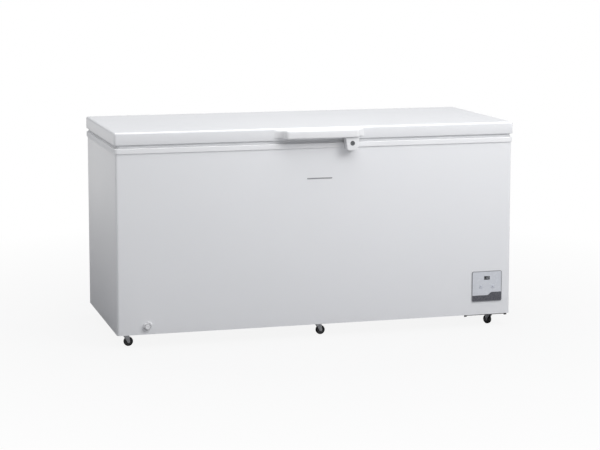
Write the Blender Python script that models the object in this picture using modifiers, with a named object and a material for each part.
"""Chest freezer on castors.

Metres, +Z up, +X to the right of someone who faces the freezer, and its front towards -Y.
The origin is on the floor, under the middle of the whole object.
"""

from math import cos, pi, radians, sin

import bmesh
import bpy
from mathutils import Matrix, Vector

# Overall size
WIDTH = 1.640  # lid and collar, left to right
DEPTH = 0.690  # lid and collar, front to back
HEIGHT = 0.845  # floor to lid top
CASTOR_HEIGHT = 0.052  # floor to the cabinet's underside
LID_HEIGHT = 0.049
LID_GAP = 0.013  # between collar and lid, where the gasket is
COLLAR_HEIGHT = 0.021
COLLAR_PROUD = 0.004  # collar beyond the wrap
HANDLE_OUT = 0.045  # handle beyond the lid's front
HINGE_OUT = 0.030  # hinges beyond the lid's back

# Walls, sheets and clearances
GAP = 0.0003  # between pieces that touch
SHEET = 0.001  # steel and aluminium sheet
WALL = 0.066  # wrap's outer face to liner's inner face
FLOOR = 0.070  # cabinet's underside to liner's floor
STEP_WALL = 0.055  # foam between compartment and liner step
WRAP_CORNER = 0.010
LINER_CORNER = 0.030
EXTRA = 0.010  # how far a cutter runs past what it cuts

# Collar
COLLAR_PLATE = 0.004
COLLAR_EDGE = 0.0035
LEDGE_DROP = 0.008  # basket ledge below the collar's top
LEDGE_PLATE = 0.003
LEDGE_OUT = 0.009  # riser's inner face beyond the liner's inner face
RISER = 0.003
LIP = 0.0025

# Lid
LID_SKIN = 0.002
LID_EDGE = 0.008
LID_HOLLOW_EDGE = 0.005  # upper edge of its hollow, and of the foam in it
LID_PANEL = 0.0015
PLUG_DEPTH = 0.010  # raised middle of the lid's inner panel
PLUG_CLEARANCE = 0.008  # between it and the collar's opening
GASKET_INSET = 0.005
GASKET_WIDTH = 0.018

# Handle and lock
HANDLE_BELOW_TOP = 0.006
HANDLE_HEIGHT = 0.034
HANDLE_FOOT = (-0.187, 0.182)  # where its ends meet the lid
HANDLE_FACE = (-0.1495, 0.1545)  # its front face
HANDLE_FRONT_WALL = 0.008
HANDLE_ROOF = 0.004
FINGER_GAP = (-0.140, 0.090)
LOCK_X = 0.125
LOCK_TOP_WIDTH = 0.0574
LOCK_BOTTOM_WIDTH = 0.0456
LOCK_DROP = 0.010  # lock's lower edge below the collar
LOCK_OUT = 0.036
LOCK_WALL = 0.0045
LOCK_HOLE_WIDTH = 0.040
LOCK_PLAY = 0.0015  # round the strike, inside the housing
BARREL_RADIUS = 0.009
BARREL_BELOW_HANDLE = 0.024  # barrel's axis below the handle
KEY_SLOT = (0.0018, 0.008, 0.003)  # width, height and depth
TONGUE_LENGTH = 0.0140
TONGUE_WIDTH = 0.005
TONGUE_THICK = 0.003

# Compressor compartment, at the right end
COMPARTMENT_LENGTH = 0.198
COMPARTMENT_HEIGHT = 0.250
TRAY_SHEET = 0.0015
TRAY_LIP = 0.003
TRAY_TAB = (0.012, 0.007)  # width and drop of its turned-down corners
COMPRESSOR_RADIUS = 0.075
COMPRESSOR_HEIGHT = 0.170
COMPRESSOR_FOOT = 0.008
VENT_SIZE = (0.260, 0.150)
COVER_SIZE = (0.150, 0.226)
COVER_LAP = 0.010
GLAND_RADIUS = 0.0075

# Tubes
EVAPORATOR_RADIUS = 0.004
EVAPORATOR_TURNS = 3
CONDENSER_RADIUS = 0.003
CONDENSER_RUNS = 6
LINE_RADIUS = 0.004

# Control panel
PANEL_SIZE = (0.130, 0.126)
PANEL_FROM_RIGHT = 0.105  # its middle to the collar's right face
PANEL_ABOVE_BASE = 0.117  # its middle to the cabinet's underside
PANEL_CORNER = 0.006
BEZEL_RIM = 0.0025
BEZEL_FLANGE = 0.003
BEZEL_LAP = 0.0065  # flange beyond the cut-out in the wrap
BEZEL_TUBE = 0.010  # depth of the part that goes through the wrap
BEZEL_WALL = 0.0025
FACE_THICK = 0.0012
DISPLAY_SIZE = (0.024, 0.015)
DISPLAY_RISE = 0.0345  # above the panel's middle
BUTTON_SIZE = (0.014, 0.010)
BUTTON_SPACING = 0.052
BUTTON_RISE = -0.0015
BUTTON_TRAVEL = 0.001
KEY_FLANGE = 0.002  # what holds a key or a window behind the face

# Drain
DRAIN_FROM_LEFT = 0.1174  # to the wrap's left face
DRAIN_ABOVE_BASE = 0.031
DRAIN_BACK = 0.045  # liner's front wall to the drain hole in its floor
PIPE_RADIUS = 0.009
PIPE_BORE = 0.0065
BOSS_RADIUS = 0.020
BOSS_OUT = 0.010
BOSS_WALL = 0.004
CAP_RADIUS = 0.010
CAP_OUT = 0.014

# Hinges
HINGE_FROM_SIDE = 0.300  # its middle to the lid's side
HINGE_WIDTH = 0.057
HINGE_PLATE = 0.0025
HINGE_LENGTH = 0.094  # below the pin
EAR = 0.003
PIN_BACK = 0.016  # pin's axis behind the lid
PIN_BELOW_LID = 0.006
PIN_RADIUS = 0.004
KNUCKLE_RADIUS = 0.010
SPRING_RADIUS = 0.009
SPRING_WIRE = 0.0013
SPRING_TURNS = 6

# Baskets
BASKET_WIDTH = 0.300
BASKET_HEIGHT = 0.220
BASKET_CLEARANCE = 0.006  # to the collar's opening, front and back
BASKET_RIM = 0.005
BASKET_WALL = 0.003
BASKET_FROM_SIDE = 0.050  # to the liner's side when slid outwards

# Castors
CASTOR_FROM_LEFT = 0.0425  # swivel's axis to the wrap's left face
CASTOR_MIDDLE = 0.0093  # right of the cabinet's middle
CASTOR_FROM_RIGHT = 0.0697
CASTOR_INSET = 0.050  # from the wrap's front and back
CASTOR_TURN = {
    "front_left": 0, "front_middle": 0, "front_right": 115,
    "rear_left": 14, "rear_middle": -20, "rear_right": 70,
}
WHEEL_RADIUS = 0.01875
WHEEL_WIDTH = 0.014
WHEEL_EDGE = 0.002
WHEEL_SIDES = 20
TRAIL = 0.0087  # wheel's axle behind the swivel's axis
AXLE_RADIUS = 0.003
KINGPIN_RADIUS = 0.004
CASTOR_PLATE = (0.042, 0.002)
FORK_SHEET = 0.0015
FORK_TOP = 0.026

# What follows from them
CENTRE_Y = (HANDLE_OUT - HINGE_OUT) / 2
RIGHT = WIDTH / 2
FRONT = CENTRE_Y - DEPTH / 2
REAR = CENTRE_Y + DEPTH / 2
LID_BOTTOM = HEIGHT - LID_HEIGHT
COLLAR_TOP = LID_BOTTOM - LID_GAP
COLLAR_BOTTOM = COLLAR_TOP - COLLAR_HEIGHT
BASE = CASTOR_HEIGHT
WRAP_RIGHT = RIGHT - COLLAR_PROUD
WRAP_FRONT = FRONT + COLLAR_PROUD
WRAP_REAR = REAR - COLLAR_PROUD
WRAP_TOP = COLLAR_TOP - COLLAR_PLATE - GAP
INSIDE_RIGHT = WRAP_RIGHT - SHEET - GAP  # what stands inside the wrap ends here
INSIDE_FRONT = WRAP_FRONT + SHEET + GAP
INSIDE_REAR = WRAP_REAR - 2 * SHEET - 2 * GAP  # inside the rear panel as well
LINER_RIGHT = WRAP_RIGHT - WALL
LINER_FRONT = WRAP_FRONT + WALL
LINER_REAR = WRAP_REAR - WALL
LINER_FLOOR = BASE + FLOOR
LEDGE_TOP = COLLAR_TOP - LEDGE_DROP
LEDGE_BOTTOM = LEDGE_TOP - LEDGE_PLATE
LINER_TOP = LEDGE_BOTTOM - GAP
COMPARTMENT_LEFT = WRAP_RIGHT - COMPARTMENT_LENGTH
COMPARTMENT_TOP = BASE + COMPARTMENT_HEIGHT
STEP_LEFT = COMPARTMENT_LEFT - STEP_WALL
STEP_TOP = COMPARTMENT_TOP + STEP_WALL
PIN_Y = REAR + PIN_BACK
PIN_Z = LID_BOTTOM - PIN_BELOW_LID
HANDLE_TOP = HEIGHT - HANDLE_BELOW_TOP
HANDLE_BOTTOM = HANDLE_TOP - HANDLE_HEIGHT
LOCK_BOTTOM = COLLAR_BOTTOM - LOCK_DROP
BARREL_Z = HANDLE_BOTTOM - BARREL_BELOW_HANDLE
PANEL_X = RIGHT - PANEL_FROM_RIGHT
PANEL_Z = BASE + PANEL_ABOVE_BASE
PANEL_Y = WRAP_FRONT - GAP - BEZEL_FLANGE
DRAIN_X = DRAIN_FROM_LEFT - WRAP_RIGHT
DRAIN_Y = LINER_FRONT + DRAIN_BACK
DRAIN_Z = BASE + DRAIN_ABOVE_BASE
HINGE_X = RIGHT - HINGE_FROM_SIDE
BASKET_X = LINER_RIGHT - BASKET_FROM_SIDE - BASKET_WIDTH / 2
CASTOR_X = {
    "left": CASTOR_FROM_LEFT - WRAP_RIGHT,
    "middle": CASTOR_MIDDLE,
    "right": WRAP_RIGHT - CASTOR_FROM_RIGHT,
}
OPENING_IN = LIP + GAP  # collar's opening inside the liner's inner face

# Looks: sRGB colour, roughness, metallic
WHITE_PAINT = ((0.93, 0.93, 0.94), 0.30, 0.0)
WHITE_PLASTIC = ((0.92, 0.92, 0.94), 0.38, 0.0)
LINER_METAL = ((0.80, 0.81, 0.82), 0.35, 0.9)
FOAM = ((0.90, 0.84, 0.62), 0.90, 0.0)
ZINC = ((0.66, 0.67, 0.69), 0.40, 0.9)
BLACK_PAINT = ((0.05, 0.05, 0.06), 0.45, 0.0)
BLACK_PLASTIC = ((0.08, 0.08, 0.09), 0.50, 0.0)
COPPER = ((0.72, 0.43, 0.30), 0.30, 1.0)
GREY_RUBBER = ((0.62, 0.63, 0.65), 0.70, 0.0)
PANEL_GREY = ((0.75, 0.76, 0.79), 0.40, 0.0)
BEZEL_GREY = ((0.42, 0.43, 0.46), 0.45, 0.0)
DISPLAY_DARK = ((0.10, 0.11, 0.12), 0.15, 0.0)
BOARD_GREEN = ((0.10, 0.32, 0.18), 0.50, 0.0)
TYRE_BLACK = ((0.06, 0.06, 0.06), 0.60, 0.0)
WIRE_WHITE = ((0.90, 0.91, 0.92), 0.40, 0.0)

AXES = {
    "X": Matrix(((0, 0, 1), (1, 0, 0), (0, 1, 0))).to_4x4(),
    "Y": Matrix(((1, 0, 0), (0, 0, -1), (0, 1, 0))).to_4x4(),
    "Z": Matrix.Identity(4),
}

for old in list(bpy.data.objects):
    bpy.data.objects.remove(old)
PARTS = bpy.data.collections.new("chest_freezer")
CUTTERS = bpy.data.collections.new("cutters")
bpy.context.scene.collection.children.link(PARTS)
bpy.context.scene.collection.children.link(CUTTERS)


# Helpers

def move_to(piece, collection):
    for holder in list(piece.users_collection):
        holder.objects.unlink(piece)
    collection.objects.link(piece)


def linear(value):
    """An sRGB value as the linear one that a shader takes."""
    return value / 12.92 if value <= 0.04045 else ((value + 0.055) / 1.055) ** 2.4


def material(name, look):
    colour, roughness, metallic = look
    made = bpy.data.materials.new(name)
    made.use_nodes = True
    shader = made.node_tree.nodes["Principled BSDF"]
    shader.inputs["Base Color"].default_value = (*(linear(value) for value in colour), 1)
    shader.inputs["Roughness"].default_value = roughness
    shader.inputs["Metallic"].default_value = metallic
    made.diffuse_color = shader.inputs["Base Color"].default_value
    return made


def pivot(name, point, turn=0):
    """An empty on a joint's axis, for the pieces that move with that joint."""
    made = bpy.data.objects.new(name, None)
    PARTS.objects.link(made)
    made.location = point
    made.rotation_euler.z = radians(turn)
    made.empty_display_size = 0.02
    bpy.context.view_layer.update()
    return made


def hang(piece, holder, local):
    """Parents a piece and its cutters, measured from the holder (local) or from the world's origin."""
    piece.parent = holder
    if not local:
        piece.matrix_parent_inverse = holder.matrix_world.inverted()
    for modifier in piece.modifiers:
        if modifier.type == "BOOLEAN":
            hang(modifier.object, holder, local)


def keep(piece, name, look, holder=None, local=False):
    """Turns a finished shape into the named sub-part."""
    piece.name = name
    piece.data.name = name
    move_to(piece, PARTS)
    if holder:
        hang(piece, holder, local)
    piece.data.materials.append(material(name, look))
    piece.data.shade_smooth()
    piece.data.set_sharp_from_angle(angle=radians(30))
    return piece


def combine(piece, tool, operation):
    move_to(tool, CUTTERS)
    tool.name = "cutter"
    tool.hide_render = True
    tool.display_type = "WIRE"
    made = piece.modifiers.new(operation.lower(), "BOOLEAN")
    made.operation = operation
    made.solver = "EXACT"
    made.object = tool


def cut(piece, *tools):
    for tool in tools:
        combine(piece, tool, "DIFFERENCE")
    return piece


def join(piece, *others):
    for other in others:
        combine(piece, other, "UNION")
    return piece


def box(low, high):
    low, high = Vector(low), Vector(high)
    bpy.ops.mesh.primitive_cube_add(size=1)
    made = bpy.context.object
    made.data.transform(Matrix.Translation((low + high) / 2) @ Matrix.Diagonal((*(high - low), 1)))
    return made


def rod(start, end, radius, sides=16):
    """A round bar between two points."""
    start, end = Vector(start), Vector(end)
    bpy.ops.mesh.primitive_cylinder_add(vertices=sides, radius=radius, depth=(end - start).length)
    made = bpy.context.object
    turn = (end - start).to_track_quat("Z", "Y").to_matrix().to_4x4()
    made.data.transform(Matrix.Translation((start + end) / 2) @ turn)
    return made


def turned(profile, centre, axis="Z", steps=24):
    """A turned shape about an axis through its centre, from (radius, height) points down its outer side.

    A profile that ends on the axis is closed there, and any other one is closed back to its first point.
    """
    ring = [] if profile[-1][0] == 0 else [(len(profile) - 1, 0)]
    edges = [(i, i + 1) for i in range(len(profile) - 1)] + ring
    mesh = bpy.data.meshes.new("profile")
    mesh.from_pydata([(radius, 0, height) for radius, height in profile], edges, [])
    made = bpy.data.objects.new("turned", mesh)
    CUTTERS.objects.link(made)
    made.matrix_world = Matrix.Translation(centre) @ AXES[axis]
    screw = made.modifiers.new("turn", "SCREW")
    screw.steps = screw.render_steps = steps
    screw.use_merge_vertices = True
    screw.merge_threshold = 0.00005
    return made


def mesh_of(curve, place=Matrix.Identity(4)):
    """The curve as a closed mesh."""
    drawn = bpy.data.objects.new("drawn", curve)
    CUTTERS.objects.link(drawn)
    bpy.context.view_layer.update()
    graph = bpy.context.evaluated_depsgraph_get()
    mesh = bpy.data.meshes.new_from_object(drawn.evaluated_get(graph))
    bpy.data.objects.remove(drawn)
    mesh.transform(place)
    work = bmesh.new()
    work.from_mesh(mesh)
    bmesh.ops.remove_doubles(work, verts=work.verts, dist=0.00001)
    flat = radians(0.2)
    bmesh.ops.dissolve_limit(work, angle_limit=flat, verts=work.verts, edges=work.edges)
    bmesh.ops.recalc_face_normals(work, faces=work.faces)
    work.to_mesh(mesh)
    work.free()
    made = bpy.data.objects.new("solid", mesh)
    CUTTERS.objects.link(made)
    return made


def slab(outlines, low, high, axis="Z"):
    """A plate between two heights along its axis. A second outline is a hole in it.

    An outline holds (x, y) points on axis Z, (x, z) points on axis Y and (y, z) points on axis X.
    """
    curve = bpy.data.curves.new("outline", "CURVE")
    curve.dimensions = "2D"
    curve.fill_mode = "BOTH"
    curve.extrude = (high - low) / 2
    for outline in outlines:
        spline = curve.splines.new("POLY")
        spline.points.add(len(outline) - 1)
        for point, place in zip(spline.points, outline):
            point.co = (*place, 0, 1)
        spline.use_cyclic_u = True
    side = -1 if axis == "Y" else 1
    return mesh_of(curve, AXES[axis] @ Matrix.Translation((0, 0, side * (low + high) / 2)))


def rounded(low, high, radius, steps=4):
    """The outline of a rectangle with round corners, between two opposite corners."""
    ends = ((high[0], low[1]), high, (low[0], high[1]), low)
    inward = ((-1, 1), (-1, -1), (1, -1), (1, 1))
    points = []
    for corner, (end, (right, up)) in enumerate(zip(ends, inward)):
        middle = (end[0] + right * radius, end[1] + up * radius)
        for step in range(steps + 1):
            angle = (corner - 1 + step / steps) * pi / 2
            points.append((middle[0] + radius * cos(angle), middle[1] + radius * sin(angle)))
    return points


def around(centre, size, corner, steps=3):
    """The outline of a rounded rectangle about its centre."""
    half = (size[0] / 2, size[1] / 2)
    low = (centre[0] - half[0], centre[1] - half[1])
    return rounded(low, (centre[0] + half[0], centre[1] + half[1]), corner, steps)


def plan(right, front, rear, corner, steps=4):
    """A rounded outline in plan, as wide to the left as to the right."""
    return rounded((-right, front), (right, rear), corner, steps)


def bent(corners, radius, steps=4):
    """A route through its corners, each one rounded off."""
    corners = [Vector(corner) for corner in corners]
    route = [corners[0]]
    for before, corner, after in zip(corners, corners[1:], corners[2:]):
        start = corner + (before - corner).normalized() * radius
        end = corner + (after - corner).normalized() * radius
        for step in range(steps + 1):
            share = step / steps
            route.append(start.lerp(corner, share).lerp(corner.lerp(end, share), share))
    return route + [corners[-1]]


def tube(route, radius):
    """A round tube along its route, closed at both ends."""
    curve = bpy.data.curves.new("route", "CURVE")
    curve.dimensions = "3D"
    curve.bevel_depth = radius
    curve.bevel_resolution = 2
    curve.use_fill_caps = True
    spline = curve.splines.new("POLY")
    spline.points.add(len(route) - 1)
    for point, place in zip(spline.points, route):
        point.co = (*place, 1)
    return mesh_of(curve)


def round_edges(piece, width, segments, chosen):
    """Bevels the sharp edges whose two ends are both chosen."""
    work = bmesh.new()
    work.from_mesh(piece.data)
    edges = [
        edge for edge in work.edges
        if edge.calc_face_angle(0) > radians(40) and all(chosen(end.co) for end in edge.verts)
    ]
    bmesh.ops.bevel(
        work, geom=edges, offset=width, segments=segments, profile=0.5, affect="EDGES", clamp_overlap=True
    )
    work.to_mesh(piece.data)
    work.free()
    return piece


def near(value, wanted):
    return abs(value - wanted) < 0.0001


# Cabinet

def outer_shell():
    """Painted steel wrap: front and sides in one sheet, with a narrow return at each rear corner."""
    outside = plan(WRAP_RIGHT, WRAP_FRONT, WRAP_REAR, WRAP_CORNER)
    inside = plan(WRAP_RIGHT - SHEET, WRAP_FRONT + SHEET, WRAP_REAR - SHEET, WRAP_CORNER - SHEET)
    shell = slab([outside, inside], BASE, WRAP_TOP)
    rear_gap = WRAP_RIGHT - 0.025
    cut(
        shell,
        box((-rear_gap, WRAP_REAR - EXTRA, BASE - EXTRA), (rear_gap, WRAP_REAR + EXTRA, WRAP_TOP + EXTRA)),
        slab([panel_outline(-BEZEL_LAP)], WRAP_FRONT - EXTRA, WRAP_FRONT + EXTRA, "Y"),
        rod(
            (DRAIN_X, WRAP_FRONT - EXTRA, DRAIN_Z),
            (DRAIN_X, WRAP_FRONT + EXTRA, DRAIN_Z),
            PIPE_RADIUS + GAP,
        ),
        slab([vent_outline(-0.008)], WRAP_RIGHT - EXTRA, WRAP_RIGHT + EXTRA, "X"),
    )
    keep(shell, "outer_shell", WHITE_PAINT)


def rear_panel():
    """Flat sheet inside the wrap's rear returns, cut out behind the compressor."""
    rear = WRAP_REAR - SHEET - GAP
    right = INSIDE_RIGHT - WRAP_CORNER
    panel = box((-right, rear - SHEET, BASE), (right, rear, WRAP_TOP))
    cut(panel, slab([cover_outline(-COVER_LAP)], rear - EXTRA, rear + EXTRA, "Y"))
    keep(panel, "rear_panel", ZINC)


def inside_plan(grow=0.0):
    return plan(INSIDE_RIGHT + grow, INSIDE_FRONT - grow, INSIDE_REAR + grow, WRAP_CORNER)


def base_panel():
    """Bottom sheet of the insulated part."""
    panel = slab([inside_plan()], BASE, BASE + SHEET)
    far = (RIGHT + EXTRA, REAR + EXTRA, BASE + EXTRA)
    cut(panel, box((COMPARTMENT_LEFT - GAP, FRONT - EXTRA, BASE - EXTRA), far))
    keep(panel, "base_panel", ZINC)


def compressor_tray():
    """Steel tray that carries the compressor, with a turned-down front lip and corners."""
    tray = slab([inside_plan()], BASE, BASE + TRAY_SHEET)
    left = COMPARTMENT_LEFT + GAP
    cut(tray, box((-RIGHT - EXTRA, FRONT - EXTRA, BASE - EXTRA), (left, REAR + EXTRA, BASE + EXTRA)))
    right = INSIDE_RIGHT - WRAP_CORNER
    back = INSIDE_FRONT + TRAY_SHEET
    tab_width, tab_drop = TRAY_TAB
    top = BASE + TRAY_SHEET / 2
    join(
        tray,
        box((left + GAP, INSIDE_FRONT + GAP, BASE - TRAY_LIP), (right, back, top)),
        box(
            (left + 2 * GAP, INSIDE_FRONT + 2 * GAP, BASE - tab_drop),
            (left + tab_width, back + GAP, top - GAP),
        ),
        box(
            (right - tab_width, INSIDE_FRONT + 2 * GAP, BASE - tab_drop),
            (right - GAP, back + GAP, top - GAP),
        ),
    )
    keep(tray, "compressor_tray", BLACK_PAINT)


def tub(grow, top):
    """The liner's inner hollow, grown outwards: a tub with a step over the compressor."""
    outline = plan(LINER_RIGHT + grow, LINER_FRONT - grow, LINER_REAR + grow, LINER_CORNER + grow)
    hollow = slab([outline], LINER_FLOOR - grow, top)
    below = (STEP_LEFT + grow, FRONT - EXTRA, BASE - EXTRA)
    return cut(hollow, box(below, (RIGHT + EXTRA, REAR + EXTRA, STEP_TOP - grow)))


def inner_liner():
    """Aluminium tub."""
    liner = cut(tub(SHEET, LINER_TOP), tub(0, LINER_TOP + EXTRA))
    low = (DRAIN_X, DRAIN_Y, LINER_FLOOR - EXTRA)
    cut(liner, rod(low, (DRAIN_X, DRAIN_Y, LINER_FLOOR + EXTRA), PIPE_RADIUS + GAP))
    keep(liner, "inner_liner", LINER_METAL)


def evaporator_levels():
    low = STEP_TOP + 0.050
    high = COLLAR_BOTTOM - 0.050
    return [low + (high - low) * turn / (EVAPORATOR_TURNS - 1) for turn in range(EVAPORATOR_TURNS)]


def condenser_levels():
    low = LINER_FLOOR + 0.080
    high = COLLAR_BOTTOM - 0.060
    return [low + (high - low) * run / (CONDENSER_RUNS - 1) for run in range(CONDENSER_RUNS)]


CONDENSER_Y = INSIDE_REAR - GAP - CONDENSER_RADIUS
EVAPORATOR_OUT = SHEET + GAP + EVAPORATOR_RADIUS  # tube's centre beyond the liner's inner face
EVAPORATOR_TURN_Y = 0.030  # half the distance between its risers
EVAPORATOR_BEND = 0.010
RETURN_X = COMPARTMENT_LEFT - 0.030  # condenser's last stretch, down to the compartment
CONDENSER_END_X = COMPARTMENT_LEFT + 0.022


def cabinet_foam():
    """Insulation between wrap and liner, with channels for what runs through it."""
    bottom = BASE + SHEET + GAP
    foam = slab([inside_plan()], bottom, WRAP_TOP)
    cut(foam, tub(SHEET + GAP, WRAP_TOP + EXTRA))
    ledge = LEDGE_OUT + RISER + GAP
    outline = plan(LINER_RIGHT + ledge, LINER_FRONT - ledge, LINER_REAR + ledge, LINER_CORNER + ledge)
    cut(foam, slab([outline], LEDGE_BOTTOM - GAP, WRAP_TOP + EXTRA))
    low = (COMPARTMENT_LEFT, FRONT - EXTRA, BASE - EXTRA)
    cut(foam, box(low, (RIGHT + EXTRA, REAR + EXTRA, COMPARTMENT_TOP)))
    channel = 2 * EVAPORATOR_RADIUS + 3 * GAP + SHEET
    half = EVAPORATOR_RADIUS + GAP
    channel_outline = plan(
        LINER_RIGHT + channel, LINER_FRONT - channel, LINER_REAR + channel, LINER_CORNER + channel
    )
    levels = evaporator_levels()
    for level in levels:
        cut(foam, slab([channel_outline], level - half, level + half))
    turn = EVAPORATOR_TURN_Y + EVAPORATOR_BEND + half
    cut(
        foam,
        box(
            (LINER_RIGHT, CENTRE_Y - turn, COMPARTMENT_TOP - EXTRA),
            (LINER_RIGHT + channel, CENTRE_Y + turn, levels[-1] + half - GAP),
        ),
    )
    pocket = CONDENSER_Y - CONDENSER_RADIUS - GAP
    runs = condenser_levels()
    cut(
        foam,
        box(
            (-LINER_RIGHT - 0.030, pocket, runs[0] - 0.015),
            (COMPARTMENT_LEFT + EXTRA, REAR + EXTRA, runs[-1] + 0.015),
        ),
        tube(drain_route(EXTRA), PIPE_RADIUS + 2 * GAP),
    )
    keep(foam, "cabinet_foam", FOAM)


def top_frame():
    """White plastic collar round the cabinet's mouth, with a ledge that the baskets hang on."""
    frame = slab([plan(RIGHT, FRONT, REAR, WRAP_CORNER + COLLAR_PROUD)], COLLAR_BOTTOM, COLLAR_TOP)
    round_edges(frame, COLLAR_EDGE, 3, lambda place: near(place.z, COLLAR_TOP))

    def ring(out_from_liner):
        grow = out_from_liner
        corner = LINER_CORNER + grow
        return plan(LINER_RIGHT + grow, LINER_FRONT - grow, LINER_REAR + grow, corner)

    low = COLLAR_BOTTOM - EXTRA
    skirt = plan(WRAP_RIGHT + GAP, WRAP_FRONT - GAP, WRAP_REAR + GAP, WRAP_CORNER + GAP)
    cut(
        frame,
        slab([ring(-OPENING_IN)], low, COLLAR_TOP + EXTRA),
        slab([ring(LEDGE_OUT)], LEDGE_TOP, COLLAR_TOP + EXTRA),
        slab([skirt, ring(LEDGE_OUT + RISER)], low, COLLAR_TOP - COLLAR_PLATE),
        slab([ring(LEDGE_OUT + RISER + GAP), ring(-GAP)], low, LEDGE_BOTTOM),
    )
    keep(frame, "top_frame", WHITE_PLASTIC)


# Cooling

COMPRESSOR_X = (COMPARTMENT_LEFT + WRAP_RIGHT) / 2
COMPRESSOR_Y = CENTRE_Y + 0.090
COMPRESSOR_Z = BASE + TRAY_SHEET + GAP + COMPRESSOR_FOOT


def compressor():
    """Hermetic pot on a mounting plate with four stub feet."""
    r, h = COMPRESSOR_RADIUS, COMPRESSOR_HEIGHT
    profile = [
        (0, h), (0.40 * r, 0.99 * h), (0.74 * r, 0.92 * h), (0.93 * r, 0.79 * h), (r, 0.62 * h),
        (r, 0.55 * h), (0.97 * r, 0.53 * h), (0.97 * r, 0.20 * h), (0.80 * r, 0.04 * h), (0.6 * r, 0), (0, 0),
    ]
    pot = turned(profile, (COMPRESSOR_X, COMPRESSOR_Y, COMPRESSOR_Z), steps=18)
    reach = r - 0.004
    plate_low = (COMPRESSOR_X - r, COMPRESSOR_Y - r, COMPRESSOR_Z - 0.001)
    plate_high = (COMPRESSOR_X + r, COMPRESSOR_Y + r, COMPRESSOR_Z + 0.002)
    join(pot, box(plate_low, plate_high))
    for side in (-1, 1):
        for end in (-1, 1):
            x = COMPRESSOR_X + side * (reach - 0.008)
            y = COMPRESSOR_Y + end * (reach - 0.008)
            join(pot, rod((x, y, COMPRESSOR_Z - COMPRESSOR_FOOT), (x, y, COMPRESSOR_Z + 0.001), 0.009, 8))
    keep(pot, "compressor", BLACK_PAINT)


def terminal_box():
    """Cover over the compressor's terminals, on its front side."""
    rear = COMPRESSOR_Y - COMPRESSOR_RADIUS - GAP
    low = (COMPRESSOR_X - 0.028, rear - 0.030, COMPRESSOR_Z + 0.040)
    cover = box(low, (COMPRESSOR_X + 0.028, rear, COMPRESSOR_Z + 0.095))
    round_edges(cover, 0.004, 2, lambda place: near(place.y, rear - 0.030))
    keep(cover, "terminal_box", BLACK_PLASTIC)


def condenser_tube():
    """Serpentine behind the rear panel. Both its ends come out in the compartment."""
    runs = condenser_levels()
    left = -LINER_RIGHT
    right = RETURN_X - 0.030
    inner_y = CONDENSER_Y - 0.030
    corners = [(CONDENSER_END_X, inner_y, runs[0]), (CONDENSER_END_X, CONDENSER_Y, runs[0])]
    for number, level in enumerate(runs):
        leftward = number % 2 == 0
        if number > 0:
            corners.append((right if leftward else left, CONDENSER_Y, level))
        last = number == len(runs) - 1
        corners.append((RETURN_X if last else left if leftward else right, CONDENSER_Y, level))
    down = runs[0] + 0.035
    corners += [
        (RETURN_X, CONDENSER_Y, down),
        (CONDENSER_END_X, CONDENSER_Y, down),
        (CONDENSER_END_X, inner_y, down),
    ]
    keep(tube(bent(corners, 0.012, 2), CONDENSER_RADIUS), "condenser_tube", COPPER)


def filter_drier():
    """Copper capsule at the condenser's outlet."""
    start = CONDENSER_Y - 0.030 - GAP
    z = condenser_levels()[0] + 0.035
    profile = [(0, 0), (0.004, 0), (0.009, -0.012), (0.009, -0.070), (0.004, -0.082), (0, -0.082)]
    drier = turned(profile, (CONDENSER_END_X, start, z), "Y", 16)
    drier.matrix_world = drier.matrix_world @ Matrix.Rotation(pi, 4, "X")
    keep(drier, "filter_drier", COPPER)


def discharge_line():
    """Hot gas line from the compressor to the condenser's inlet."""
    z = condenser_levels()[0]
    start = (CONDENSER_END_X, CONDENSER_Y - 0.030 - GAP, z)
    corner = (CONDENSER_END_X, COMPRESSOR_Y + 0.092, z)
    side = (COMPRESSOR_X, COMPRESSOR_Y + 0.092, z)
    drop = (COMPRESSOR_X, COMPRESSOR_Y + 0.092, COMPRESSOR_Z + 0.075)
    end = (COMPRESSOR_X, COMPRESSOR_Y + COMPRESSOR_RADIUS + GAP, COMPRESSOR_Z + 0.075)
    keep(tube(bent([start, corner, side, drop, end], 0.010, 3), CONDENSER_RADIUS), "discharge_line", COPPER)


def suction_line():
    """Cold gas line from the evaporator down to the compressor."""
    x = LINER_RIGHT + EVAPORATOR_OUT
    y = CENTRE_Y + EVAPORATOR_TURN_Y
    top = evaporator_levels()[0] - 0.020 - GAP
    low = COMPRESSOR_Z + 0.120
    side = COMPRESSOR_X + COMPRESSOR_RADIUS + 0.010
    corners = [
        (x, y, top),
        (x, y, COMPARTMENT_TOP - 0.020),
        (side, COMPRESSOR_Y, COMPARTMENT_TOP - 0.045),
        (side, COMPRESSOR_Y, low),
        (COMPRESSOR_X + COMPRESSOR_RADIUS * 0.98, COMPRESSOR_Y, low),
    ]
    keep(tube(bent(corners, 0.009, 3), LINE_RADIUS), "suction_line", COPPER)


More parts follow.
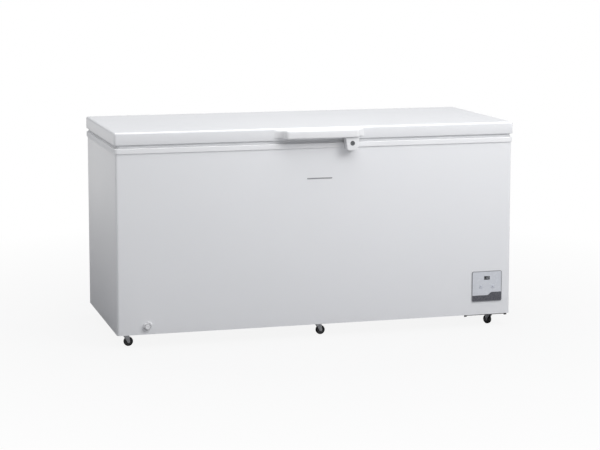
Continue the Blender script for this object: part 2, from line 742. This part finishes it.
def evaporator_tube():
    """Tube wound round the liner, back and forth, with its risers on the right side."""
    out = EVAPORATOR_OUT
    right = LINER_RIGHT + out
    loop = plan(right, LINER_FRONT - out, LINER_REAR + out, LINER_CORNER + out)
    corner_points = len(loop) // 4
    rear_first = loop[corner_points:] + loop[:corner_points]
    levels = evaporator_levels()
    ends = (CENTRE_Y + EVAPORATOR_TURN_Y, CENTRE_Y - EVAPORATOR_TURN_Y)
    soft = EVAPORATOR_BEND
    route = [Vector((right, ends[0], levels[0] - 0.020))]
    for number, level in enumerate(levels):
        order = rear_first if number % 2 == 0 else rear_first[::-1]
        start, end = ends if number % 2 == 0 else ends[::-1]
        way = 1 if start > end else -1
        route.append(Vector((right, start, level - soft)))
        route.append(Vector((right, start + way * soft * 0.3, level - soft * 0.3)))
        route.append(Vector((right, start + way * soft, level)))
        route += [Vector((x, y, level)) for x, y in order]
        route.append(Vector((right, end - way * soft, level)))
        if number < len(levels) - 1:
            route.append(Vector((right, end - way * soft * 0.3, level + soft * 0.3)))
            route.append(Vector((right, end, level + soft)))
    keep(tube(route, EVAPORATOR_RADIUS), "evaporator_tube", COPPER)


def vent_outline(grow=0.0):
    size = (VENT_SIZE[0] + 2 * grow, VENT_SIZE[1] + 2 * grow)
    return around((CENTRE_Y, BASE + COMPARTMENT_HEIGHT / 2), size, 0.005)


def side_vent():
    """Slotted grille over the opening in the wrap's right side."""
    outer = WRAP_RIGHT + GAP + 0.0028
    vent = slab([vent_outline()], WRAP_RIGHT + GAP, outer, "X")
    slots = 8
    pitch = 0.0155
    middle = BASE + COMPARTMENT_HEIGHT / 2
    half = VENT_SIZE[0] / 2 - 0.018
    for slot in range(slots):
        z = middle + (slot - (slots - 1) / 2) * pitch
        low = (WRAP_RIGHT - EXTRA, CENTRE_Y - half, z - 0.003)
        cut(vent, box(low, (outer + EXTRA, CENTRE_Y + half, z + 0.003)))
    keep(vent, "side_vent", WHITE_PLASTIC)


COVER_X = WRAP_RIGHT - 0.030 - COVER_SIZE[0] / 2
COVER_Z = BASE + 0.012 + COVER_SIZE[1] / 2
GLAND_X = COVER_X - COVER_SIZE[0] / 2 + 0.032
GLAND_Z = BASE + 0.040


def cover_outline(grow=0.0):
    size = (COVER_SIZE[0] + 2 * grow, COVER_SIZE[1] + 2 * grow)
    return around((COVER_X, COVER_Z), size, 0.004)


def rear_cover():
    """Access cover behind the compressor, with air slots."""
    front = WRAP_REAR - SHEET
    cover = slab([cover_outline()], front, front + SHEET, "Y")
    slots = 7
    for slot in range(slots):
        z = COVER_Z - 0.012 + slot * 0.016
        low = (COVER_X - 0.048, front - EXTRA, z - 0.003)
        cut(cover, box(low, (COVER_X + 0.048, front + EXTRA, z + 0.003)))
    hole_start = (GLAND_X, front - EXTRA, GLAND_Z)
    cut(cover, rod(hole_start, (GLAND_X, front + EXTRA, GLAND_Z), GLAND_RADIUS + GAP))
    keep(cover, "rear_cover", ZINC)


def cord_gland():
    """Grommet where the mains lead leaves."""
    bore = 0.004
    flange = GLAND_RADIUS + 0.0035
    profile = [
        (GLAND_RADIUS - 0.001, 0.008), (GLAND_RADIUS, 0.006), (GLAND_RADIUS, 0), (flange, 0),
        (flange, -0.003), (bore, -0.003), (bore, 0.008),
    ]
    gland = turned(profile, (GLAND_X, WRAP_REAR + GAP, GLAND_Z), "Y", 16)
    keep(gland, "cord_gland", BLACK_PLASTIC)


# Control panel

def panel_outline(grow=0.0):
    size = (PANEL_SIZE[0] + 2 * grow, PANEL_SIZE[1] + 2 * grow)
    return around((PANEL_X, PANEL_Z), size, max(PANEL_CORNER + grow, 0.002))


def key_places():
    half = BUTTON_SPACING / 2
    return {"left": PANEL_X - half, "right": PANEL_X + half}


def control_bezel():
    """Frame in the wrap's cut-out, with a rebate that the face lies in."""
    bezel = slab([panel_outline()], PANEL_Y, PANEL_Y + BEZEL_FLANGE, "Y")
    round_edges(bezel, 0.0008, 2, lambda place: near(place.y, PANEL_Y))
    tube_out = -BEZEL_LAP - GAP
    back = PANEL_Y + BEZEL_FLANGE + BEZEL_TUBE
    join(bezel, slab([panel_outline(tube_out)], PANEL_Y + BEZEL_FLANGE / 2, back, "Y"))
    rebate = PANEL_Y + FACE_THICK + 2 * GAP
    cut(
        bezel,
        slab([panel_outline(tube_out - BEZEL_WALL)], PANEL_Y - EXTRA, back + EXTRA, "Y"),
        slab([panel_outline(-BEZEL_RIM)], PANEL_Y - EXTRA, rebate, "Y"),
    )
    keep(bezel, "control_bezel", BEZEL_GREY)


def control_face():
    """Flat front plate of the panel, with holes for the display and the two keys."""
    front = PANEL_Y + GAP
    face = slab([panel_outline(-BEZEL_RIM - GAP)], front, front + FACE_THICK, "Y")
    display = (DISPLAY_SIZE[0] + 2 * GAP, DISPLAY_SIZE[1] + 2 * GAP)
    middle = (PANEL_X, PANEL_Z + DISPLAY_RISE)
    cut(face, slab([around(middle, display, 0.001)], front - EXTRA, front + EXTRA, "Y"))
    key = (BUTTON_SIZE[0] + 2 * GAP, BUTTON_SIZE[1] + 2 * GAP)
    for x in key_places().values():
        outline = around((x, PANEL_Z + BUTTON_RISE), key, 0.003)
        cut(face, slab([outline], front - EXTRA, front + EXTRA, "Y"))
    keep(face, "control_face", PANEL_GREY)


def behind_face():
    return PANEL_Y + 2 * GAP + FACE_THICK


def display_window():
    """Dark window over the digits, held by a flange behind the face."""
    middle = (PANEL_X, PANEL_Z + DISPLAY_RISE)
    back = behind_face()
    window = slab([around(middle, DISPLAY_SIZE, 0.001)], PANEL_Y + GAP, back + KEY_FLANGE / 2, "Y")
    flange = (DISPLAY_SIZE[0] + 2 * KEY_FLANGE, DISPLAY_SIZE[1] + 2 * KEY_FLANGE)
    join(window, slab([around(middle, flange, 0.001)], back, back + KEY_FLANGE, "Y"))
    keep(window, "display_window", DISPLAY_DARK)


def button(side, x):
    """Key that travels into the panel, with a flange behind the face and a stem to its switch."""
    z = PANEL_Z + BUTTON_RISE
    back = behind_face()
    key = slab([around((x, z), BUTTON_SIZE, 0.003)], PANEL_Y - 0.0004, back + KEY_FLANGE / 2, "Y")
    flange = (BUTTON_SIZE[0] + 2 * KEY_FLANGE, BUTTON_SIZE[1] + 2 * KEY_FLANGE)
    join(
        key,
        slab([around((x, z), flange, 0.003)], back, back + KEY_FLANGE, "Y"),
        rod((x, back + KEY_FLANGE / 2, z), (x, back + KEY_FLANGE + 0.002, z), 0.002, 12),
    )
    keep(key, f"button_{side}", PANEL_GREY, pivot(f"button_{side}_slide", (x, PANEL_Y, z)))


def control_board():
    """Circuit board behind the bezel, with a switch under each key."""
    front = PANEL_Y + BEZEL_FLANGE + BEZEL_TUBE + GAP
    board = slab([panel_outline(-BEZEL_LAP - GAP)], front, front + 0.0016, "Y")
    switch_front = behind_face() + KEY_FLANGE + 0.002 + BUTTON_TRAVEL + GAP
    z = PANEL_Z + BUTTON_RISE
    for x in key_places().values():
        join(board, box((x - 0.003, switch_front, z - 0.003), (x + 0.003, front + 0.0008, z + 0.003)))
    window = PANEL_Z + DISPLAY_RISE
    digits_front = behind_face() + KEY_FLANGE + GAP
    digits_low = (PANEL_X - 0.012, digits_front, window - 0.007)
    join(board, box(digits_low, (PANEL_X + 0.012, front + 0.0008, window + 0.007)))
    relay_low = (PANEL_X - 0.040, front + 0.0008, PANEL_Z - 0.040)
    join(board, box(relay_low, (PANEL_X - 0.020, front + 0.016, PANEL_Z - 0.025)))
    keep(board, "control_board", BOARD_GREEN)


# Drain

def drain_route(extra=0.0):
    """From in front of the wrap to the liner's floor."""
    start = (DRAIN_X, WRAP_FRONT - GAP - 0.002 - extra, DRAIN_Z)
    return bent([start, (DRAIN_X, DRAIN_Y, DRAIN_Z), (DRAIN_X, DRAIN_Y, LINER_FLOOR + extra)], 0.014, 4)


def drain_pipe():
    """Pipe from the liner's floor to a round boss on the front."""
    pipe = tube(drain_route(), PIPE_RADIUS)
    inner = BOSS_RADIUS - BOSS_WALL
    profile = [
        (PIPE_BORE, BOSS_WALL), (inner, BOSS_WALL), (inner, BOSS_OUT), (BOSS_RADIUS - 0.002, BOSS_OUT),
        (BOSS_RADIUS, BOSS_OUT - 0.002), (BOSS_RADIUS, 0), (PIPE_BORE, 0),
    ]
    join(pipe, turned(profile, (DRAIN_X, WRAP_FRONT - GAP, DRAIN_Z), "Y", 20))
    cut(pipe, tube(drain_route(EXTRA / 2), PIPE_BORE))
    keep(pipe, "drain_pipe", WHITE_PLASTIC)


def drain_cap():
    """Knob that plugs the outlet and pulls out forwards."""
    front = WRAP_FRONT - GAP
    tip = CAP_OUT - 0.0015
    stem = PIPE_BORE - 2 * GAP
    seat = BOSS_WALL + GAP
    profile = [
        (0, CAP_OUT), (CAP_RADIUS - 0.0015, CAP_OUT), (CAP_RADIUS, tip), (CAP_RADIUS, seat), (stem, seat),
        (stem, -0.010), (0, -0.010),
    ]
    cap = turned(profile, (DRAIN_X, front, DRAIN_Z), "Y", 20)
    keep(cap, "drain_cap", WHITE_PLASTIC, pivot("drain_cap_slide", (DRAIN_X, front, DRAIN_Z)))


def liner_drain_plug():
    """Stopper in the liner's floor."""
    stem = PIPE_BORE - 2 * GAP
    bottom = LINER_FLOOR + GAP
    profile = [
        (0, 0.008), (0.004, 0.008), (0.005, 0.004), (0.012, 0.003), (0.013, 0), (stem, 0), (stem, -0.012),
        (0, -0.012),
    ]
    plug = turned(profile, (DRAIN_X, DRAIN_Y, bottom), "Z", 20)
    keep(plug, "liner_drain_plug", GREY_RUBBER, pivot("liner_plug_slide", (DRAIN_X, DRAIN_Y, bottom)))


# Hinges

def hinge_base(side, x):
    """Channel on the cabinet's back: plate, two ears, the pin between them and a seat for the spring."""
    half = HINGE_WIDTH / 2
    bottom = PIN_Z - HINGE_LENGTH
    plate_front = REAR + GAP
    plate_rear = plate_front + HINGE_PLATE
    base = box((x - half, plate_front, bottom), (x + half, plate_rear, COLLAR_TOP))
    pad_front = WRAP_REAR - SHEET
    pad_low = (x - half + EAR, pad_front, bottom + EAR)
    join(base, box(pad_low, (x + half - EAR, plate_front + 0.001, COLLAR_BOTTOM - 0.001)))
    top = REAR + HINGE_OUT
    round_top = top - PIN_Y
    arc = [
        (PIN_Y + round_top * cos(step * pi / 6), PIN_Z + round_top * sin(step * pi / 6)) for step in range(6)
    ]
    outline = [
        (plate_front + 0.0005, bottom + 0.0005), (top, bottom + 0.020), *arc, (plate_front + 0.0005, PIN_Z)
    ]
    for way in (-1, 1):
        low, high = sorted((x + way * (half - 0.0005), x + way * (half - EAR)))
        join(base, slab([outline], low, high, "X"))
    reach = half - EAR + 0.001
    join(
        base,
        rod((x - reach, PIN_Y, PIN_Z), (x + reach, PIN_Y, PIN_Z), PIN_RADIUS),
        box((x - reach, plate_front + 0.001, bottom + 0.001), (x + reach, top - 0.006, bottom + 0.004)),
    )
    keep(base, f"hinge_base_{side}", ZINC)


def hinge_arm(side, x, lid):
    """Plate on the lid's back with a knuckle round the pin."""
    half = HINGE_WIDTH / 2 - EAR - 0.0015
    knuckle = rod((x - half, PIN_Y, PIN_Z), (x + half, PIN_Y, PIN_Z), KNUCKLE_RADIUS)
    front = REAR + GAP
    join(
        knuckle,
        box((x - half + 0.0005, front, PIN_Z + 0.0005), (x + half - 0.0005, PIN_Y, LID_BOTTOM + 0.008)),
        box((x - half, front + 0.0002, LID_BOTTOM + 0.003), (x + half, front + HINGE_PLATE, HEIGHT - 0.010)),
    )
    cut(knuckle, rod((x - half - EXTRA, PIN_Y, PIN_Z), (x + half + EXTRA, PIN_Y, PIN_Z), PIN_RADIUS + GAP))
    keep(knuckle, f"hinge_arm_{side}", ZINC, lid)


def hinge_spring(side, x):
    """Counterbalance coil between the ears, under the knuckle."""
    low = PIN_Z - HINGE_LENGTH + 0.004 + SPRING_WIRE + GAP
    high = PIN_Z - KNUCKLE_RADIUS - SPRING_WIRE - 2 * GAP
    per_turn = 7
    count = SPRING_TURNS * per_turn
    coil = [
        (
            x + SPRING_RADIUS * cos(2 * pi * step / per_turn),
            PIN_Y + SPRING_RADIUS * sin(2 * pi * step / per_turn),
            low + (high - low) * step / count,
        )
        for step in range(count + 1)
    ]
    keep(tube(coil, SPRING_WIRE), f"hinge_spring_{side}", ZINC)


# Lid

def lid_plan(inset, corner):
    return plan(RIGHT - inset, FRONT + inset, REAR - inset, corner)


def lid_shell(lid):
    """Outer skin of the lid, open below."""
    shell = box((-RIGHT, FRONT, LID_BOTTOM), (RIGHT, REAR, HEIGHT))
    work = bmesh.new()
    work.from_mesh(shell.data)
    edges = [edge for edge in work.edges if any(end.co.z > LID_BOTTOM + 0.001 for end in edge.verts)]
    bmesh.ops.bevel(work, geom=edges, offset=LID_EDGE, segments=3, profile=0.5, affect="EDGES")
    work.to_mesh(shell.data)
    work.free()
    hollow = slab([lid_plan(LID_SKIN, LID_EDGE)], LID_BOTTOM - EXTRA, HEIGHT - LID_SKIN)
    round_edges(hollow, LID_HOLLOW_EDGE, 2, lambda place: near(place.z, HEIGHT - LID_SKIN))
    cut(shell, hollow)
    keep(shell, "lid_shell", WHITE_PAINT, lid)


def plug_outline(inset=0.0):
    back = OPENING_IN + PLUG_CLEARANCE + inset
    return plan(LINER_RIGHT - back, LINER_FRONT + back, LINER_REAR - back, LINER_CORNER)


def lid_liner(lid):
    """Inner panel of the lid, with a raised middle that reaches into the collar."""
    inset = LID_SKIN + GAP
    bottom = LID_BOTTOM - PLUG_DEPTH
    panel = slab([lid_plan(inset, LID_EDGE)], LID_BOTTOM, LID_BOTTOM + LID_PANEL)
    join(panel, slab([plug_outline()], bottom, LID_BOTTOM + LID_PANEL / 2))
    cut(panel, slab([plug_outline(LID_PANEL)], bottom + LID_PANEL, LID_BOTTOM + EXTRA))
    keep(panel, "lid_liner", WHITE_PLASTIC, lid)


def lid_foam(lid):
    """Insulation inside the lid."""
    inset = LID_SKIN + GAP
    low = LID_BOTTOM + LID_PANEL + GAP
    top = HEIGHT - LID_SKIN - GAP
    foam = slab([lid_plan(inset, LID_EDGE)], low, top)
    round_edges(foam, LID_HOLLOW_EDGE, 2, lambda place: near(place.z, top))
    bottom = LID_BOTTOM - PLUG_DEPTH + LID_PANEL + GAP
    join(foam, slab([plug_outline(LID_PANEL + GAP)], bottom, low + 0.005))
    keep(foam, "lid_foam", FOAM, lid)


def lid_gasket(lid):
    """Soft ring between lid and collar."""
    outer = lid_plan(GASKET_INSET, 0.020)
    inner = lid_plan(GASKET_INSET + GASKET_WIDTH, 0.012)
    keep(slab([outer, inner], COLLAR_TOP + GAP, LID_BOTTOM - GAP), "lid_gasket", GREY_RUBBER, lid)


def handle_outline():
    """Trapezium in plan with hollow flanks and rounded front corners."""
    root = FRONT - GAP
    nose = FRONT - HANDLE_OUT
    bend = 0.010
    points = []
    for foot, face, way in zip(HANDLE_FOOT, HANDLE_FACE, (1, -1)):
        flank = [Vector((foot, root)), Vector((face - way * 0.010, root - 0.008)), Vector((face, nose + bend))]
        corner = [flank[-1], Vector((face + way * 0.001, nose)), Vector((face + way * bend, nose))]
        end = []
        for first, middle, last in (flank, corner):
            end += [
                first.lerp(middle, step / 5).lerp(middle.lerp(last, step / 5), step / 5) for step in range(5)
            ]
        end.append(corner[-1])
        points += end if way == 1 else end[::-1]
    return [tuple(point) for point in points]


def lid_handle(lid):
    """Moulded bar on the lid's front, hollow below for the fingers."""
    handle = slab([handle_outline()], HANDLE_BOTTOM, HANDLE_TOP)
    forward = FRONT - 0.004
    round_edges(handle, 0.007, 3, lambda place: near(place.z, HANDLE_TOP) and place.y < forward)
    round_edges(handle, 0.003, 2, lambda place: near(place.z, HANDLE_BOTTOM) and place.y < forward)
    low = (FINGER_GAP[0], FRONT - HANDLE_OUT + HANDLE_FRONT_WALL, HANDLE_BOTTOM - EXTRA)
    cut(handle, box(low, (FINGER_GAP[1], FRONT - 0.003, HANDLE_TOP - HANDLE_ROOF)))
    keep(handle, "lid_handle", WHITE_PLASTIC, lid)


def lock_housing(lid):
    """Tab under the handle's right end that holds the lock, open behind and below."""
    top = HANDLE_BOTTOM - GAP
    wide = LOCK_TOP_WIDTH / 2
    slim = LOCK_BOTTOM_WIDTH / 2
    corner = 0.008
    arc = [(sin(step * pi / 6), 1 - cos(step * pi / 6)) for step in range(4)]
    right = [(LOCK_X + slim - corner + corner * x, LOCK_BOTTOM + corner * z) for x, z in arc]
    left = [(2 * LOCK_X - x, z) for x, z in right[::-1]]
    outline = [*left, *right, (LOCK_X + wide, top), (LOCK_X - wide, top)]
    front = FRONT - LOCK_OUT
    housing = slab([outline], front, FRONT - 0.002, "Y")
    round_edges(housing, 0.0015, 2, lambda place: near(place.y, front) and place.z < top - 0.001)
    half = LOCK_HOLE_WIDTH / 2
    low = (LOCK_X - half, front + LOCK_WALL, LOCK_BOTTOM - EXTRA)
    cut(
        housing,
        box(low, (LOCK_X + half, FRONT + EXTRA, top - LOCK_WALL)),
        rod((LOCK_X, front - EXTRA, BARREL_Z), (LOCK_X, front + EXTRA, BARREL_Z), BARREL_RADIUS + GAP),
    )
    keep(housing, "lock_housing", WHITE_PLASTIC, lid)


TONGUE_REAR = FRONT - 0.011


def lock_barrel():
    """Key barrel with a tongue behind it. The tongue hangs down when unlocked."""
    front = FRONT - LOCK_OUT
    shoulder = front + LOCK_WALL + GAP
    tongue_front = TONGUE_REAR - TONGUE_THICK
    barrel = rod((LOCK_X, front - 0.0015, BARREL_Z), (LOCK_X, shoulder + 0.006, BARREL_Z), BARREL_RADIUS)
    half = TONGUE_WIDTH / 2
    join(
        barrel,
        rod((LOCK_X, shoulder, BARREL_Z), (LOCK_X, shoulder + 0.003, BARREL_Z), BARREL_RADIUS + 0.0025),
        rod((LOCK_X, shoulder + 0.004, BARREL_Z), (LOCK_X, tongue_front + 0.001, BARREL_Z), 0.004, 12),
        box(
            (LOCK_X - half, tongue_front, BARREL_Z - TONGUE_LENGTH),
            (LOCK_X + half, TONGUE_REAR, BARREL_Z + half + 0.002),
        ),
    )
    slot_low = (LOCK_X - KEY_SLOT[0] / 2, front - EXTRA, BARREL_Z - KEY_SLOT[1] / 2)
    cut(barrel, box(slot_low, (LOCK_X + KEY_SLOT[0] / 2, front + KEY_SLOT[2], BARREL_Z + KEY_SLOT[1] / 2)))
    keep(barrel, "lock_barrel", ZINC, pivot("lock_barrel_pivot", (LOCK_X, front, BARREL_Z)))


def lock_strike():
    """Hook on the collar's front that the turned tongue catches under."""
    left = LOCK_X - LOCK_HOLE_WIDTH / 2 + LOCK_PLAY
    right = LOCK_X - TONGUE_LENGTH - LOCK_PLAY
    nose = TONGUE_REAR - TONGUE_THICK - 0.004
    lip_bottom = BARREL_Z + TONGUE_WIDTH / 2 + 0.005
    lip_top = lip_bottom + 0.003
    back = FRONT - GAP
    low = COLLAR_BOTTOM + 0.002
    strike = box((left - 0.0005, back - 0.0015, low), (LOCK_X + 0.008, back, COLLAR_TOP - 0.005))
    join(
        strike,
        box((left, nose, low + 0.0005), (right, back - 0.0005, lip_top)),
        box((left + 0.0005, nose + 0.0005, lip_bottom), (LOCK_X - 0.009, FRONT - 0.0045, lip_top - 0.0003)),
    )
    keep(strike, "lock_strike", ZINC)


# Baskets

def basket(side, x):
    """Lift-out basket whose rim rests on the collar's ledge, front and back."""
    opening_front = LINER_FRONT + OPENING_IN
    opening_rear = LINER_REAR - OPENING_IN
    low_y = opening_front + BASKET_CLEARANCE
    high_y = opening_rear - BASKET_CLEARANCE
    top = LEDGE_TOP + GAP + BASKET_RIM
    bottom = top - BASKET_HEIGHT
    half = BASKET_WIDTH / 2
    body = slab([rounded((x - half, low_y), (x + half, high_y), 0.015, 3)], bottom, top)
    reach = LEDGE_OUT - 0.002
    inset = 0.016
    rim_low = (x - half + inset, LINER_FRONT - reach, top - BASKET_RIM)
    join(body, box(rim_low, (x + half - inset, LINER_REAR + reach, top - 0.0005)))
    wall = BASKET_WALL
    hollow = rounded((x - half + wall, low_y + wall), (x + half - wall, high_y - wall), 0.012, 3)
    cut(body, slab([hollow], bottom + wall, top + EXTRA))
    keep(body, f"basket_{side}", WIRE_WHITE, pivot(f"basket_{side}_slide", (x, CENTRE_Y, top)))


# Castors

def castor(name, x, y, turn):
    """Swivel castor: plate with kingpin, fork with axle, and wheel, measured from the plate's top."""
    top = BASE - GAP
    axle_z = WHEEL_RADIUS * cos(pi / WHEEL_SIDES) - top
    size, thick = CASTOR_PLATE
    fork_top = -thick - GAP
    fork_under = fork_top - 2 * FORK_SHEET
    head = fork_under - GAP

    plate = slab([around((x, y), (size, size), 0.005, 2)], top - thick, top)
    join(
        plate,
        rod((x, y, top - thick / 2), (x, y, top + head - 0.001), KINGPIN_RADIUS, 12),
        rod((x, y, top + head), (x, y, top + head - 0.002), KINGPIN_RADIUS + 0.0025, 12),
    )
    keep(plate, f"castor_{name}_plate", ZINC)

    swivel = pivot(f"castor_{name}_swivel", (x, y, top), turn)
    half = FORK_TOP / 2
    arm_in = WHEEL_WIDTH / 2 + 0.001
    arm_out = arm_in + FORK_SHEET
    fork = slab([around((0, 0), (FORK_TOP, 2 * arm_out + 0.001), 0.003, 2)], fork_under, fork_top)
    boss = AXLE_RADIUS + 0.0025
    arc = [
        (TRAIL + boss * cos(-step * pi / 4), axle_z + boss * sin(-step * pi / 4)) for step in range(5)
    ]
    outline = [(half - 0.001, fork_under + FORK_SHEET), *arc, (-half + 0.001, fork_under + FORK_SHEET)]
    for side in (-1, 1):
        low, high = sorted((side * arm_in, side * arm_out))
        join(fork, slab([outline], low, high, "Y"))
    rivet = arm_out + 0.001
    join(fork, rod((TRAIL, -rivet, axle_z), (TRAIL, rivet, axle_z), AXLE_RADIUS, 12))
    cut(fork, rod((0, 0, fork_top + EXTRA / 4), (0, 0, fork_under - EXTRA / 4), KINGPIN_RADIUS + GAP, 12))
    keep(fork, f"castor_{name}_fork", ZINC, swivel, local=True)

    edge, side, bore = WHEEL_EDGE, WHEEL_WIDTH / 2, AXLE_RADIUS + GAP
    profile = [
        (WHEEL_RADIUS - edge, side), (WHEEL_RADIUS, side - edge), (WHEEL_RADIUS, edge - side),
        (WHEEL_RADIUS - edge, -side), (bore, -side), (bore, side),
    ]
    wheel = turned(profile, (TRAIL, 0, axle_z), "Y", WHEEL_SIDES)
    wheel.rotation_euler = (wheel.matrix_world @ Matrix.Rotation(pi / WHEEL_SIDES, 4, "Z")).to_euler()
    keep(wheel, f"castor_{name}_wheel", TYRE_BLACK, swivel, local=True)


def castors():
    for end, y in (("front", WRAP_FRONT + CASTOR_INSET), ("rear", WRAP_REAR - CASTOR_INSET)):
        for side, x in CASTOR_X.items():
            name = f"{end}_{side}"
            castor(name, x, y, CASTOR_TURN[name])


outer_shell()
rear_panel()
base_panel()
compressor_tray()
inner_liner()
cabinet_foam()
top_frame()
compressor()
terminal_box()
condenser_tube()
filter_drier()
discharge_line()
suction_line()
evaporator_tube()
side_vent()
rear_cover()
cord_gland()
control_bezel()
control_face()
display_window()
control_board()
for button_side, button_x in key_places().items():
    button(button_side, button_x)
drain_pipe()
drain_cap()
liner_drain_plug()
lid_pivot = pivot("lid_pivot", (0, PIN_Y, PIN_Z))
for hinge_side, hinge_x in (("left", -HINGE_X), ("right", HINGE_X)):
    hinge_base(hinge_side, hinge_x)
    hinge_arm(hinge_side, hinge_x, lid_pivot)
    hinge_spring(hinge_side, hinge_x)
lid_shell(lid_pivot)
lid_liner(lid_pivot)
lid_foam(lid_pivot)
lid_gasket(lid_pivot)
lid_handle(lid_pivot)
lock_housing(lid_pivot)
lock_barrel()
lock_strike()
for basket_side, basket_x in (("left", -BASKET_X), ("right", BASKET_X)):
    basket(basket_side, basket_x)
castors()
